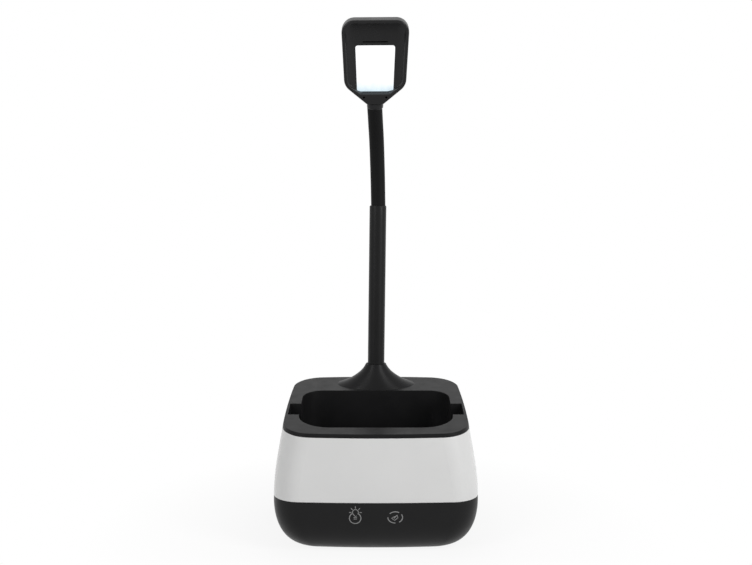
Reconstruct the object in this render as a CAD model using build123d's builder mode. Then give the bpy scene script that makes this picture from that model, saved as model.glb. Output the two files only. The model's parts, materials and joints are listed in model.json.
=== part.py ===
"""Desk lamp with an organizer base: storage well, glowing band, stem, gooseneck and lamp head.

Millimetres. The origin is the middle of the base on the table, +Z is up, -Y is the front.
"""

import os
from math import cos, radians, sin, sqrt, tan

from build123d import *

# ---------------------------------------------------------------- driving dimensions
# Base body
base_width = 150.0
base_depth = 128.0
bottom_height = 0.8  # underside of the housing, above the table
split_height = 39.7  # seam between the lower housing and the white band
rim_height = 94.3  # seam between the band and the deck, at the middle of the base
deck_slant = 7.8  # degrees, front lower
deck_thickness = 2.8
round_under_height = 36.0  # the housing curves in below this height
round_under_inset = 22.0
taper_start = 44.0  # the band narrows above this height
side_taper = 0.155
front_taper = 0.05
taper_blend = 6.0
front_bow = 3.3  # how far the front and back bulge
side_bow = 1.6
bottom_corner = 17.0
split_corner = 20.5
rim_corner = 23.0
housing_wall = 2.0
band_wall = 1.6
register_gap = 0.15  # between a locating rib and the band
register_wall = 1.4
register_height = 3.0
rim_depth = 5.0  # thickened stretch under the seam
floor_top = 5.0

# Storage well and side pockets
well_half_width = base_width / 2 - 18.0
well_front = base_depth / 2 - 15.0
well_back = base_depth / 2 - 36.0
well_front_corner = 24.0
well_back_corner = 15.5
well_floor = 24.0
well_wall = 2.0
well_floor_fillet = 3.0
pocket_end = base_width / 2 - 9.6
pocket_front = 23.5
pocket_back = 1.0
pocket_floor = 82.5
pocket_wall = 0.9
join_overlap = 0.1

# Bottom cover, feet, ballast and screws
cover_width = base_width - 46.0
cover_depth = base_depth - 48.0
cover_corner = 10.0
cover_thickness = 2.0
cover_gap = 0.2
hatch_width = cover_width - 16.0
hatch_depth = cover_depth - 20.0
hatch_corner = 8.0
cover_rib_gap = 0.5
cover_rib_width = 1.5
cover_rib_height = 1.8
cover_screw_x = 30.0
cover_screw_y = cover_depth / 2 - 5.0
cover_screw_length = 9.0
cover_screw_sink = 1.0
cover_screw_gap = 0.2
post_radius = 3.2
post_height = 8.0
screw_radius = 1.5
screw_clearance = 0.05
screw_head_radius = 2.7
screw_head_height = 1.6
screw_head_gap = 0.3
screw_slot_length = 2.6
screw_slot_width = 0.6
screw_slot_depth = 0.8
foot_radius = 6.0
foot_gap = 0.1
foot_recess = 0.5
foot_round = 0.4
foot_x = cover_width / 2 - 9.0
foot_y = cover_depth / 2 - 16.0
ballast_width = hatch_width - 12.0
ballast_depth = hatch_depth / 2 - 4.0
ballast_thickness = 4.0
ballast_corner = 3.0
ballast_middle = -(ballast_depth / 2 + 2.0)
ballast_screw_x = ballast_width / 2 - 10.0
deck_screw_x = well_half_width - 9.0
deck_screw_front = well_front - 21.0
deck_screw_back = well_back - 10.0
deck_screw_length = 12.0
deck_screw_sink = 2.2
deck_post_radius = 4.5
deck_post_top = 12.0
deck_boss_radius = 3.5

# Boards
board_thickness = 1.2
board_corner = 1.5
board_hole_radius = 0.9
main_board_width = 62.0
main_board_depth = hatch_depth / 2 - 3.0
main_board_middle = main_board_depth / 2 + 1.5
main_board_height = 8.0
main_post_x = main_board_width / 2 - 3.0
main_post_y = main_board_depth / 2 - 3.0
main_post_radius = 2.2
chip_side = 7.0
chip_height = 1.2
driver_width = 5.0
driver_depth = 4.0
choke_side = 6.5
choke_height = 3.5
capacitor_radius = 2.5
capacitor_height = 6.0
socket_width = 7.5
socket_depth = 4.5
socket_height = 4.5
inlet_board_width = 28.0
inlet_board_depth = 13.0
inlet_board_middle = base_depth / 2 - 16.5
inlet_board_height = 12.0
inlet_post_x = inlet_board_width / 2 - 3.5
inlet_post_y = base_depth / 2 - 19.0
inlet_width = 9.0
inlet_height = 3.2
inlet_length = 8.0
inlet_wall = 0.35
inlet_back_wall = 1.5
inlet_tongue_width = 6.7
inlet_tongue_thickness = 0.7
inlet_mouth = base_depth / 2 - 5.0
inlet_slot_gap = 0.25
plug_recess_width = 13.0
plug_recess_height = 7.2
touch_board_width = 56.0
touch_board_height = 14.0
touch_level = 27.0  # height of the two touch symbols
touch_x = 14.0
touch_board_front = base_depth / 2 - 5.6
touch_pad_radius = 3.5
touch_pad_length = 2.0
touch_rest_x = touch_board_width / 2 - 4.0
touch_rest_width = 4.0
touch_rest_height = 6.0

# Mood light strip
strip_bottom = 60.0
strip_height = 8.0
strip_thickness = 0.3
mood_led_width = 3.5
mood_led_depth = 1.5
mood_led_height = 2.8
mood_led_pitch = 16.0
mood_led_count = 5  # along the front and along the back
mood_led_side_count = 2

# Stem
neck_y = base_depth / 2 - 19.0
seat_height = 110.0
flare_top = 119.7
flare_top_radius = 8.1
flare_base_half_width = 31.0
flare_base_half_depth = 16.4
stem_radius = 7.0
stem_wall = 1.0
stem_top = 246.0
stem_lean = 0.7  # degrees to the right
fit_gap = 0.05
nipple_radius = 5.0
nipple_bore = 2.6
nipple_plug_length = 12.0
nipple_tail = 28.0
seat_boss_radius = 10.0
seat_boss_depth = 18.0
washer_radius = 9.0
washer_thickness = 1.5
nut_across_flats = 15.0
nut_height = 4.5
ferrule_radius = 6.5
ferrule_height = 7.5
ferrule_plug_length = 8.0
ferrule_bore = 5.0
ferrule_round = 0.5
lead_radius = 2.0

# Gooseneck
sleeve_radius = 6.0
sleeve_bore = 4.6
coil_radius = 4.5
coil_bore = 3.0
joint_ball = 8.2  # radius of the ball end of each segment
joint_gap = 0.3
coil_tail = 8.0  # how far the coil reaches down into the stem
first_joint = 7.0  # above the stem's top
joint_pitch = 11.8
head_reach = 13.4  # from the last joint to the collar
nod_step = 4.0  # degrees forward at each joint, as the neck stands
lean_at_joint = (-1.0, -2.0, -3.0, -3.5, -3.0, -0.4)  # degrees sideways, as the neck stands

# Lamp head
head_length = 69.0
head_top_half = 25.3
head_low_half = 23.2
head_low_corner = 15.8  # height of the lower corners above the collar
head_throat_half = 6.4
head_throat_height = 1.6
head_front = 6.5  # from the neck's axis to the front face
head_back = 8.5
head_parting = 0.5  # the seam lies this far behind the axis
head_top_round = 9.5
head_low_round = 6.0
head_throat_round = 3.0
head_front_edge = 1.8
head_back_edge = 5.0
head_wall = 1.6
dish_depth = 5.0
dish_top = 64.3
dish_bottom = 8.0
dish_top_half = 23.0
dish_low_half = 19.0
dish_top_round = 7.0
dish_low_round = 11.0
panel_top = 47.4
panel_bottom = 11.0
panel_top_half = 15.1
panel_low_half = 13.8
panel_round = 2.0
panel_flange = 1.0
panel_thickness = 1.6
panel_gap = 0.1
led_board_width = 26.0
led_board_length = 31.0
led_board_corner = 1.0
led_board_gap = 0.4
led_post_inset = 2.5
led_post_radius = 1.6
led_size = 2.8
led_height = 0.8
led_pitch_across = 6.0
led_pitch_along = 7.0
led_count = 4  # each way
collar_radius = 6.35
stud_radius = 3.0
stud_bore = 1.3
stud_plug_length = 4.5
stud_length = 7.6
head_nut_start = 5.0  # above the collar's lower face
head_nut_across_flats = 9.0
head_nut_height = 2.4
nut_pocket_width = 10.8
nut_pocket_depth = 9.6
nut_pocket_length = 3.0
shell_cavity_start = 13.0
shell_side_wall = 2.5
lead_channel_radius = 1.6
lead_channel_back = 3.0
lead_channel_overlap = 0.5

# ---------------------------------------------------------------- places worked out from them
slant = radians(deck_slant)
deck_normal = (0, -sin(slant), cos(slant))
rim_plane = Plane(origin=(0, 0, rim_height), x_dir=(1, 0, 0), z_dir=deck_normal)
deck_plane = rim_plane.offset(deck_thickness)
flange_bottom = bottom_height + cover_thickness
register_inside = band_wall + register_gap + register_wall
upper_top = rim_height + base_depth / 2 * tan(slant) + 10.0
stem_axis = (sin(radians(stem_lean)), 0, cos(radians(stem_lean)))
stem_across = (cos(radians(stem_lean)), 0, -sin(radians(stem_lean)))
stem_plane = Plane(origin=(0, neck_y, seat_height), x_dir=stem_across, z_dir=stem_axis)
stem_length = stem_top - seat_height


def export(piece, name, seat=Location()):
    """Move a finished piece to its seat, label it and write it under its own name."""
    piece.part = piece.part.moved(seat)
    piece.part.label = name
    export_step(piece.part, f"parts/{name}.step")


def round_under(z):
    """How far the housing's skin has curved in at height z."""
    if z >= round_under_height:
        return 0.0
    drop = (round_under_height - z) / round_under_height
    return round_under_inset * (1 - sqrt(1 - drop**2))


def taper(z, slope):
    """How far the band's skin has leaned in at height z."""
    if z <= taper_start:
        return 0.0
    rise = z - taper_start
    return slope * (sqrt(rise**2 + taper_blend**2) - taper_blend)


def body_outline(z, shrink=0.0):
    """The body's bowed, round-cornered outline at height z, drawn that far inside the skin."""
    half_width = base_width / 2 - round_under(z) - taper(z, side_taper) - shrink
    half_depth = base_depth / 2 - round_under(z) - taper(z, front_taper) - shrink
    if z < split_height:
        share = z / split_height
        corner = bottom_corner + (split_corner - bottom_corner) * share
    else:
        share = (z - split_height) / (rim_height - split_height)
        corner = split_corner + (rim_corner - split_corner) * min(share, 1.0)
    x = half_width - side_bow
    y = half_depth - front_bow
    with BuildSketch(Plane.XY.offset(z)) as outline:
        with BuildLine():
            ThreePointArc((-x, -y), (0, -half_depth), (x, -y))
            ThreePointArc((x, -y), (half_width, 0), (x, y))
            ThreePointArc((x, y), (0, half_depth), (-x, y))
            ThreePointArc((-x, y), (-half_width, 0), (-x, -y))
        make_face()
        fillet(outline.vertices(), corner - shrink)
    return outline.sketch


def body_loft(heights, shrink=0.0):
    """The body between its lowest and highest outline, drawn that far inside the skin."""
    return loft([body_outline(z, shrink) for z in heights], mode=Mode.PRIVATE)


lower_heights = [bottom_height, 4.0, 10.0, 18.0, 28.0, split_height]
upper_heights = [split_height, 52.0, 75.0, upper_top]


def seam_ring(low, high, outer_shrink, inner_shrink):
    """A plain upright ring that follows the body's outline at the seam."""
    outer = extrude(body_outline(split_height, outer_shrink), high - low, mode=Mode.PRIVATE)
    inner = extrude(body_outline(split_height, inner_shrink), high - low, mode=Mode.PRIVATE)
    return (outer - inner).moved(Location((0, 0, low - split_height)))


def well_outline(z, grow=0.0):
    """The storage well's outline, tighter at its back corners, at height z."""
    half = well_half_width + grow
    front = -(well_front + grow)
    back = well_back + grow
    with BuildSketch(Plane.XY.offset(z)) as outline:
        with BuildLine():
            Polyline((-half, front), (half, front), (half, back), (-half, back), close=True)
        make_face()
        fillet(outline.vertices().group_by(Axis.Y)[0], well_front_corner + grow)
        fillet(outline.vertices().group_by(Axis.Y)[-1], well_back_corner + grow)
    return outline.sketch


def screw(plane, length):
    """A pan-head screw whose head rests on the plane and whose shank runs along its normal."""
    with BuildPart() as fastener:
        with BuildSketch(plane):
            Circle(screw_radius)
        extrude(amount=length)
        with BuildSketch(plane):
            Circle(screw_head_radius)
        extrude(amount=-screw_head_height)
        with BuildSketch(plane.offset(-screw_head_height)):
            Rectangle(screw_slot_length, screw_slot_width)
            Rectangle(screw_slot_width, screw_slot_length)
        extrude(amount=screw_slot_depth, mode=Mode.SUBTRACT)
    return fastener.part


os.makedirs("parts", exist_ok=True)

# ---------------------------------------------------------------- lower housing
cover_screw_places = [(x, y)
                      for x in (-cover_screw_x, cover_screw_x) for y in (-cover_screw_y, cover_screw_y)]
deck_screw_places = [(x, y)
                     for x in (-deck_screw_x, deck_screw_x) for y in (-deck_screw_front, deck_screw_back)]
inlet_level = inlet_board_height + board_thickness + inlet_height / 2

with BuildPart() as lower_housing:
    add(body_loft(lower_heights))
    add(body_loft([floor_top, 9.0, 15.0, 22.0, 30.0, split_height], housing_wall), mode=Mode.SUBTRACT)
    # the rib that locates the band, on a thickened rim
    add(seam_ring(split_height - rim_depth, split_height, housing_wall / 2, register_inside))
    add(seam_ring(split_height, split_height + register_height, band_wall + register_gap, register_inside))
    # rebate for the bottom cover, and the hatch above it
    with BuildSketch(Plane.XY.offset(bottom_height)):
        RectangleRounded(cover_width + 2 * cover_gap, cover_depth + 2 * cover_gap, cover_corner + cover_gap)
    extrude(amount=cover_thickness, mode=Mode.SUBTRACT)
    with BuildSketch(Plane.XY.offset(flange_bottom)):
        RectangleRounded(hatch_width, hatch_depth, hatch_corner)
    extrude(amount=floor_top - flange_bottom, mode=Mode.SUBTRACT)
    # posts for the cover screws, the deck screws and the inlet board
    with BuildSketch(Plane.XY.offset(floor_top)):
        with Locations(*cover_screw_places):
            Circle(post_radius)
    extrude(amount=post_height)
    with BuildSketch(Plane.XY.offset(floor_top)):
        with Locations(*deck_screw_places):
            Circle(deck_post_radius)
    extrude(amount=deck_post_top - floor_top)
    with BuildSketch(Plane.XY.offset(floor_top)):
        with Locations((-inlet_post_x, inlet_post_y), (inlet_post_x, inlet_post_y)):
            Circle(main_post_radius)
    extrude(amount=inlet_board_height - floor_top)
    # screw holes
    with BuildSketch(Plane.XY.offset(flange_bottom)):
        with Locations(*cover_screw_places, *deck_screw_places):
            Circle(screw_radius + screw_clearance)
    extrude(amount=deck_post_top - flange_bottom, mode=Mode.SUBTRACT)
    with BuildSketch(Plane.XY.offset(flange_bottom)):
        with Locations(*deck_screw_places):
            Circle(screw_head_radius + screw_head_gap)
    extrude(amount=deck_screw_sink, mode=Mode.SUBTRACT)
    # opening for the power inlet, with a recess for the plug's body
    with BuildSketch(Plane.XZ.offset(-base_depth / 2)):
        with Locations((0, inlet_level)):
            SlotOverall(inlet_width + 2 * inlet_slot_gap, inlet_height + 2 * inlet_slot_gap)
    extrude(amount=base_depth / 2 - inlet_board_middle, mode=Mode.SUBTRACT)
    with BuildSketch(Plane.XZ.offset(-base_depth / 2)):
        with Locations((0, inlet_level)):
            SlotOverall(plug_recess_width, plug_recess_height)
    extrude(amount=base_depth / 2 - inlet_mouth, mode=Mode.SUBTRACT)
    # rests for the touch board, ending inside the front wall
    with BuildSketch(Plane.XZ.offset(touch_board_front)) as rest_shape:
        with Locations((-touch_rest_x, touch_level), (touch_rest_x, touch_level)):
            Rectangle(touch_rest_width, touch_rest_height)
    rests = extrude(rest_shape.sketch, base_depth / 2 - touch_board_front, mode=Mode.PRIVATE)
    add(rests & body_loft(lower_heights, housing_wall / 2))
export(lower_housing, "lower_housing")

# ---------------------------------------------------------------- bottom cover, feet, ballast
main_post_places = [(x, main_board_middle + y)
                    for x in (-main_post_x, main_post_x) for y in (-main_post_y, main_post_y)]
foot_places = [(x, y) for x in (-foot_x, foot_x) for y in (-foot_y, foot_y)]
ballast_screw_places = [(-ballast_screw_x, ballast_middle), (ballast_screw_x, ballast_middle)]

with BuildPart() as bottom_cover:
    with BuildSketch(Plane.XY.offset(bottom_height)):
        RectangleRounded(cover_width, cover_depth, cover_corner)
    extrude(amount=cover_thickness)
    with BuildSketch(Plane.XY.offset(flange_bottom)):
        with Locations(*main_post_places):
            Circle(main_post_radius)
    extrude(amount=main_board_height - flange_bottom)
    # a stiffening rib around the hatch
    with BuildSketch(Plane.XY.offset(flange_bottom)):
        for inset, mode in ((cover_rib_gap, Mode.ADD), (cover_rib_gap + cover_rib_width, Mode.SUBTRACT)):
            RectangleRounded(hatch_width - 2 * inset, hatch_depth - 2 * inset, hatch_corner - inset,
                             mode=mode)
    extrude(amount=cover_rib_height)
    with BuildSketch(Plane.XY.offset(bottom_height)):
        with Locations(*cover_screw_places):
            Circle(screw_radius + screw_clearance)
    extrude(amount=cover_thickness, mode=Mode.SUBTRACT)
    with BuildSketch(Plane.XY.offset(bottom_height)):
        with Locations(*cover_screw_places):
            Circle(screw_head_radius + cover_screw_gap)
    extrude(amount=cover_screw_sink, mode=Mode.SUBTRACT)
    with BuildSketch(Plane.XY.offset(bottom_height)):
        with Locations(*foot_places):
            Circle(foot_radius + foot_gap)
    extrude(amount=foot_recess, mode=Mode.SUBTRACT)
export(bottom_cover, "bottom_cover")

with BuildPart() as cover_screws:
    for place in cover_screw_places:
        add(screw(Plane(origin=(*place, bottom_height + cover_screw_sink)), cover_screw_length))
export(cover_screws, "cover_screws")

with BuildPart() as rubber_feet:
    with BuildSketch():
        with Locations(*foot_places):
            Circle(foot_radius)
    extrude(amount=bottom_height + foot_recess)
    fillet(rubber_feet.edges().group_by(Axis.Z)[0], foot_round)
export(rubber_feet, "rubber_feet")

with BuildPart() as ballast_plate:
    with BuildSketch(Plane.XY.offset(flange_bottom)):
        with Locations((0, ballast_middle)):
            RectangleRounded(ballast_width, ballast_depth, ballast_corner)
        with Locations(*ballast_screw_places):
            Circle(screw_radius + screw_clearance, mode=Mode.SUBTRACT)
    extrude(amount=ballast_thickness)
export(ballast_plate, "ballast_plate")

with BuildPart() as ballast_screws:
    for place in ballast_screw_places:
        down = Plane(origin=(*place, flange_bottom + ballast_thickness), x_dir=(1, 0, 0), z_dir=(0, 0, -1))
        add(screw(down, ballast_thickness))
export(ballast_screws, "ballast_screws")

# ---------------------------------------------------------------- boards in the housing
board_top = main_board_height + board_thickness
with BuildPart() as main_board:
    with BuildSketch(Plane.XY.offset(main_board_height)):
        with Locations((0, main_board_middle)):
            RectangleRounded(main_board_width, main_board_depth, board_corner)
        with Locations(*main_post_places):
            Circle(board_hole_radius, mode=Mode.SUBTRACT)
    extrude(amount=board_thickness)
export(main_board, "main_board")


def board_place(across, along):
    """The place on the main board that far from its middle."""
    return (across, main_board_middle + along)


with BuildPart() as board_parts:
    with BuildSketch(Plane.XY.offset(board_top)):
        with Locations(board_place(-14.0, 0)):
            Rectangle(chip_side, chip_side)
        with Locations(board_place(4.0, 3.0)):
            Rectangle(driver_width, driver_depth)
    extrude(amount=chip_height)
    with BuildSketch(Plane.XY.offset(board_top)):
        with Locations(board_place(15.0, 4.0)):
            RectangleRounded(choke_side, choke_side, board_corner)
    extrude(amount=choke_height)
    with BuildSketch(Plane.XY.offset(board_top)):
        with Locations(board_place(20.0, -7.0), board_place(12.0, -7.0)):
            Circle(capacitor_radius)
    extrude(amount=capacitor_height)
    with BuildSketch(Plane.XY.offset(board_top)):
        with Locations(board_place(-22.0, -8.0), board_place(-10.0, -9.0), board_place(0, -9.0)):
            Rectangle(socket_width, socket_depth)
    extrude(amount=socket_height)
export(board_parts, "board_parts")

with BuildPart() as inlet_board:
    with BuildSketch(Plane.XY.offset(inlet_board_height)):
        with Locations((0, inlet_board_middle)):
            Rectangle(inlet_board_width, inlet_board_depth)
        with Locations((-inlet_post_x, inlet_post_y), (inlet_post_x, inlet_post_y)):
            Circle(board_hole_radius, mode=Mode.SUBTRACT)
    extrude(amount=board_thickness)
export(inlet_board, "inlet_board")

inlet_back = Plane(origin=(0, inlet_mouth, inlet_level), x_dir=(1, 0, 0), z_dir=(0, -1, 0))
with BuildPart() as power_inlet:
    with BuildSketch(inlet_back):
        SlotOverall(inlet_width, inlet_height)
    extrude(amount=inlet_length)
    with BuildSketch(inlet_back):
        SlotOverall(inlet_width - 2 * inlet_wall, inlet_height - 2 * inlet_wall)
        Rectangle(inlet_tongue_width, inlet_tongue_thickness, mode=Mode.SUBTRACT)
    extrude(amount=inlet_length - inlet_back_wall, mode=Mode.SUBTRACT)
export(power_inlet, "power_inlet")

with BuildPart() as touch_board:
    with BuildSketch(Plane.XZ.offset(touch_board_front)):
        with Locations((0, touch_level)):
            RectangleRounded(touch_board_width, touch_board_height, board_corner)
    extrude(amount=-board_thickness)
export(touch_board, "touch_board")

with BuildPart() as touch_pads:
    with BuildSketch(Plane.XZ.offset(touch_board_front)):
        with Locations((-touch_x, touch_level), (touch_x, touch_level)):
            Circle(touch_pad_radius)
    extrude(amount=touch_pad_length)
export(touch_pads, "touch_pads")

# ---------------------------------------------------------------- white band
with BuildPart() as light_band:
    add(body_loft(upper_heights))
    add(body_loft(upper_heights, band_wall), mode=Mode.SUBTRACT)
    split(bisect_by=rim_plane, keep=Keep.BOTTOM)
export(light_band, "light_band")

# ---------------------------------------------------------------- deck, well, pockets and flare
flare_drop = flare_top - (rim_height + deck_thickness / cos(slant) + neck_y * tan(slant))
# each stage: share of the drop, share of the spread sideways, share of the spread in depth
flare_stages = ((0.0, 0.0, 0.0), (0.2, 0.08, 0.16), (0.4, 0.21, 0.36), (0.6, 0.39, 0.58), (0.78, 0.6, 0.78),
                (0.92, 0.83, 0.93), (1.0, 1.0, 1.0))


def flare_outline(drop, wide, deep):
    """An ellipse of the flare, turning from level at its top to the deck's slant at its foot."""
    half_width = flare_top_radius + (flare_base_half_width - flare_top_radius) * wide
    half_depth = flare_top_radius + (flare_base_half_depth - flare_top_radius) * deep
    turn = slant * drop**2
    middle = (0, neck_y, flare_top - flare_drop * drop)
    with BuildSketch(Plane(origin=middle, x_dir=(1, 0, 0), z_dir=(0, -sin(turn), cos(turn)))) as outline:
        Ellipse(half_width, half_depth)
    return outline.sketch


with BuildPart() as organizer_deck:
    # slanted plate
    add(body_loft(upper_heights))
    split(bisect_by=deck_plane, keep=Keep.BOTTOM)
    split(bisect_by=rim_plane, keep=Keep.TOP)
    # skirt that locates the deck inside the band
    skirt_outer = body_loft(upper_heights, band_wall + register_gap)
    skirt_inner = body_loft(upper_heights, band_wall + register_gap + register_wall)
    skirt = (skirt_outer - skirt_inner).split(rim_plane.offset(-register_height), keep=Keep.TOP)
    add(skirt.split(rim_plane.offset(join_overlap), keep=Keep.BOTTOM))
    # well walls, pocket walls and the boss under the stem, up to the plate
    well_walls = extrude(well_outline(well_floor - well_wall, well_wall), upper_top, mode=Mode.PRIVATE)
    add(well_walls.split(rim_plane.offset(join_overlap), keep=Keep.BOTTOM))
    with BuildSketch(Plane.XY.offset(pocket_floor - pocket_wall)) as pocket_shape:
        with Locations((0, -(pocket_front + pocket_back) / 2)):
            Rectangle(2 * (pocket_end + pocket_wall), pocket_front - pocket_back + 2 * pocket_wall)
    pockets = extrude(pocket_shape.sketch, upper_top, mode=Mode.PRIVATE)
    add(pockets.split(rim_plane.offset(join_overlap), keep=Keep.BOTTOM))
    with BuildSketch(stem_plane.offset(-seat_boss_depth)) as boss_shape:
        Circle(seat_boss_radius)
    boss = extrude(boss_shape.sketch, seat_boss_depth, mode=Mode.PRIVATE)
    add(boss.split(rim_plane.offset(join_overlap), keep=Keep.BOTTOM))
    # flare
    flare = loft([flare_outline(*stage) for stage in flare_stages], mode=Mode.PRIVATE)
    add(flare)
    # bosses for the deck screws
    with BuildSketch(Plane.XY.offset(deck_post_top)):
        with Locations(*deck_screw_places):
            Circle(deck_boss_radius)
    extrude(amount=well_floor - well_wall - deck_post_top)
    # the hollows
    well = extrude(well_outline(well_floor), upper_top, mode=Mode.PRIVATE)
    add(well.fillet(well_floor_fillet, well.edges().group_by(Axis.Z)[0]), mode=Mode.SUBTRACT)
    with BuildSketch(Plane.XY.offset(pocket_floor)):
        with Locations((0, -(pocket_front + pocket_back) / 2)):
            Rectangle(2 * pocket_end, pocket_front - pocket_back)
    extrude(amount=upper_top, mode=Mode.SUBTRACT)
    # seat and bore for the stem, screw holes
    with BuildSketch(stem_plane):
        Circle(stem_radius + fit_gap)
    extrude(amount=flare_top, mode=Mode.SUBTRACT)
    with BuildSketch(stem_plane.offset(-seat_boss_depth)):
        Circle(nipple_radius + fit_gap)
    extrude(amount=seat_boss_depth, mode=Mode.SUBTRACT)
    with BuildSketch(Plane.XY.offset(deck_post_top)):
        with Locations(*deck_screw_places):
            Circle(screw_radius + screw_clearance)
    extrude(amount=well_floor - well_wall - deck_post_top, mode=Mode.SUBTRACT)
export(organizer_deck, "organizer_deck")

with BuildPart() as deck_screws:
    for place in deck_screw_places:
        add(screw(Plane(origin=(*place, flange_bottom + deck_screw_sink)), deck_screw_length))
export(deck_screws, "deck_screws")

# ---------------------------------------------------------------- mood light strip
with BuildPart() as mood_strip:
    add(extrude(well_outline(strip_bottom, well_wall + strip_thickness), strip_height, mode=Mode.PRIVATE))
    add(extrude(well_outline(strip_bottom, well_wall), strip_height, mode=Mode.PRIVATE), mode=Mode.SUBTRACT)
export(mood_strip, "mood_strip")

strip_front = well_front + well_wall + strip_thickness
strip_back = well_back + well_wall + strip_thickness
strip_side = well_half_width + well_wall + strip_thickness
strip_level = strip_bottom + strip_height / 2
with BuildPart() as mood_leds:
    with BuildSketch(Plane.XZ.offset(strip_front)):
        with Locations((0, strip_level)):
            with GridLocations(mood_led_pitch, 1, mood_led_count, 1):
                Rectangle(mood_led_width, mood_led_height)
    extrude(amount=mood_led_depth)
    with BuildSketch(Plane.XZ.offset(-strip_back)):
        with Locations((0, strip_level)):
            with GridLocations(mood_led_pitch, 1, mood_led_count, 1):
                Rectangle(mood_led_width, mood_led_height)
    extrude(amount=-mood_led_depth)
    for side in (-1, 1):
        with BuildSketch(Plane.YZ.offset(side * strip_side)):
            with Locations((-mood_led_pitch / 2, strip_level)):
                with GridLocations(mood_led_pitch, 1, mood_led_side_count, 1):
                    Rectangle(mood_led_width, mood_led_height)
        extrude(amount=side * mood_led_depth)
export(mood_leds, "mood_leds")

# ---------------------------------------------------------------- stem
with BuildPart() as stem_tube:
    with BuildSketch(stem_plane):
        Circle(stem_radius)
        Circle(stem_radius - stem_wall, mode=Mode.SUBTRACT)
    extrude(amount=stem_length)
export(stem_tube, "stem_tube")

with BuildPart() as stem_nipple:
    with BuildSketch(stem_plane):
        Circle(stem_radius - stem_wall - fit_gap)
    extrude(amount=nipple_plug_length)
    with BuildSketch(stem_plane):
        Circle(nipple_radius)
    extrude(amount=-nipple_tail)
    with BuildSketch(stem_plane.offset(-nipple_tail)):
        Circle(nipple_bore)
    extrude(amount=nipple_tail + nipple_plug_length, mode=Mode.SUBTRACT)
export(stem_nipple, "stem_nipple")

with BuildPart() as stem_washer:
    with BuildSketch(stem_plane.offset(-seat_boss_depth)):
        Circle(washer_radius)
        Circle(nipple_radius + fit_gap, mode=Mode.SUBTRACT)
    extrude(amount=-washer_thickness)
export(stem_washer, "stem_washer")

with BuildPart() as stem_nut:
    with BuildSketch(stem_plane.offset(-seat_boss_depth - washer_thickness)):
        RegularPolygon(nut_across_flats / 2, 6, major_radius=False)
        Circle(nipple_radius + fit_gap, mode=Mode.SUBTRACT)
    extrude(amount=-nut_height)
export(stem_nut, "stem_nut")

with BuildPart() as stem_lead:
    with BuildSketch(stem_plane.offset(-nipple_tail)):
        Circle(lead_radius)
    extrude(amount=nipple_tail + stem_length + first_joint)
export(stem_lead, "stem_lead")

with BuildPart() as neck_ferrule:
    with BuildSketch(stem_plane.offset(stem_length)):
        Circle(ferrule_radius)
    extrude(amount=ferrule_height)
    fillet(neck_ferrule.edges().sort_by(Axis.Z)[-1], ferrule_round)
    with BuildSketch(stem_plane.offset(stem_length - ferrule_plug_length)):
        Circle(stem_radius - stem_wall - fit_gap)
    extrude(amount=ferrule_plug_length)
    with BuildSketch(stem_plane.offset(stem_length - ferrule_plug_length)):
        Circle(ferrule_bore)
    extrude(amount=ferrule_plug_length + ferrule_height, mode=Mode.SUBTRACT)
export(neck_ferrule, "neck_ferrule")

# ---------------------------------------------------------------- gooseneck
stem_end = Vector(0, neck_y, seat_height) + Vector(*stem_axis) * stem_length


def neck_direction(nod, lean):
    """The way a stretch of neck points, nodded forward and leaned sideways by so many degrees."""
    nod, lean = radians(nod), radians(lean)
    return Vector(sin(lean), -cos(lean) * sin(nod), cos(lean) * cos(nod))


joint_points = [stem_end + Vector(*stem_axis) * first_joint]
directions = [Vector(*stem_axis)]
for number, lean in enumerate(lean_at_joint):
    directions.append(neck_direction(nod_step * (number + 1), lean))
    step = head_reach if number == len(lean_at_joint) - 1 else joint_pitch
    joint_points.append(joint_points[-1] + directions[-1] * step)
collar_point = joint_points.pop()
joint_count = len(joint_points)


def neck_segment(number, radius, bore, tail):
    """A tube from joint `number` to the next: hollow ball seat below, ball end above.

    Segment 0 is the fixed stretch below the first joint, and the last one ends flat at the collar.
    """
    direction = directions[number]
    if number == 0:
        start = joint_points[0] - direction * tail
    else:
        start = joint_points[number - 1]
    last = number == joint_count
    reach = collar_point if last else joint_points[number]
    length = (reach - start).length + (0 if last else 2 * joint_ball)
    with BuildPart() as segment:
        with BuildSketch(Plane(origin=start, x_dir=(1, 0, 0), z_dir=direction)):
            Circle(radius)
            Circle(bore, mode=Mode.SUBTRACT)
        extrude(amount=length)
        if not last:
            keep = Pos(*joint_points[number]) * Sphere(joint_ball, mode=Mode.PRIVATE)
            spine = Cylinder(radius + 1, (reach - start).length, mode=Mode.PRIVATE,
                             align=(Align.CENTER, Align.CENTER, Align.MIN))
            add(keep + Plane(origin=start, z_dir=direction) * spine, mode=Mode.INTERSECT)
        if number > 0:
            add(Pos(*start) * Sphere(joint_ball + joint_gap, mode=Mode.PRIVATE), mode=Mode.SUBTRACT)
    return segment


for number in range(joint_count + 1):
    sleeve = neck_segment(number, sleeve_radius, sleeve_bore, first_joint - ferrule_height)
    export(sleeve, f"neck_sleeve_{number}")
    coil = neck_segment(number, coil_radius, coil_bore, first_joint + coil_tail)
    export(coil, f"neck_coil_{number}")

# ---------------------------------------------------------------- lamp head
head_lean = radians(lean_at_joint[-1])
head_axis = directions[-1]
head_across = Vector(cos(head_lean), 0, 0)
head_normal = head_across.cross(head_axis).normalized()
# the head's pieces are drawn lying on their backs, throat at the origin, and then moved to this plane
head_seat = Plane(origin=collar_point, x_dir=head_axis.cross(head_normal), z_dir=head_normal).location
throat_plane = Plane.XZ


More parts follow.
